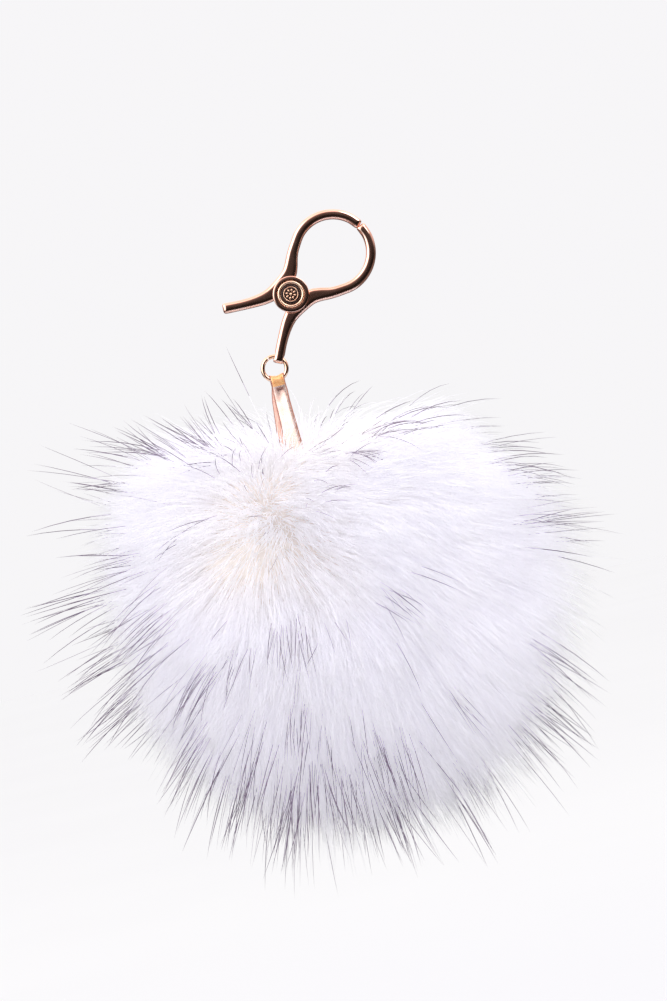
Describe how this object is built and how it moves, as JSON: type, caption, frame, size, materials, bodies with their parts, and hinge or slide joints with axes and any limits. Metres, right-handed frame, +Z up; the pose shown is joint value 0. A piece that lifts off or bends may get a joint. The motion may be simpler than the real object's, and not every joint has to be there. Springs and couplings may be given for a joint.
{
  "type": "plush keychain",
  "caption": "Long-pile faux-fur ball hung by a folded leather strap and a jump ring from a sprung, squeeze-to-open loop clasp.",
  "frame": {"origin": "centre of the clasp's round loop, in its middle plane, where a handle or key ring goes through", "axes": "+Z up with the ball hanging plumb, -Y towards the front with the medallion, +X towards the side that the loop leans to"},
  "size_m": [0.144, 0.14, 0.1798],
  "materials": {
    "rose_gold": "polished rose-gold plating on cast zinc",
    "bright_gold": "polished pale rose-gold plating",
    "dark_enamel": "dark glossy enamel",
    "spring_steel": "drawn spring steel",
    "metallic_leather": "metallic rose-gold coated leather, satin",
    "sewing_thread": "twisted polyester thread",
    "knitted_backing": "cream knitted backing cloth",
    "polyester_fill": "loose polyester fibre",
    "faux_fur": "long white acrylic pile with dark-tipped guard hairs"
  },
  "bodies": {
    "clip": {"clip_arm_lower": "rose_gold", "pivot_pin": "spring_steel", "torsion_spring": "spring_steel", "hub_bezel": "bright_gold", "front_medallion": "dark_enamel", "rear_cap": "rose_gold"},
    "upper_arm": {"clip_arm_upper": "rose_gold"},
    "ring": {"jump_ring": "bright_gold"},
    "strap": {"strap": "metallic_leather", "strap_stitch": "sewing_thread"},
    "pom": {"gather_thread": "sewing_thread", "fur_backing": "knitted_backing", "stuffing_ball": "polyester_fill", "fur_pile": "faux_fur"}
  },
  "joints": [
    {"name": "clasp_open", "type": "hinge", "parent": "clip", "child": "upper_arm", "pos_m": [-0.01367, 0, -0.00888], "axis": [0, -1, 0], "range_deg": [0, 28], "stiffness_Nm_per_rad": 0.15, "springref_deg": -28.65, "deforming": ["torsion_spring"]},
    {"name": "ring_swing", "type": "hinge", "parent": "clip", "child": "ring", "pos_m": [-0.02051, 0, -0.02486], "axis": [0.8192, 0, -0.5736], "range_deg": [-30, 30]},
    {"name": "strap_swing", "type": "hinge", "parent": "ring", "child": "strap", "pos_m": [-0.02241, 0, -0.02756], "axis": [0, -1, 0], "range_deg": [-30, 30]},
    {"name": "pom_flex", "type": "hinge", "parent": "strap", "child": "pom", "pos_m": [-0.02133, 0, -0.05566], "axis": [1, 0, 0], "range_deg": [-20, 20]}
  ]
}
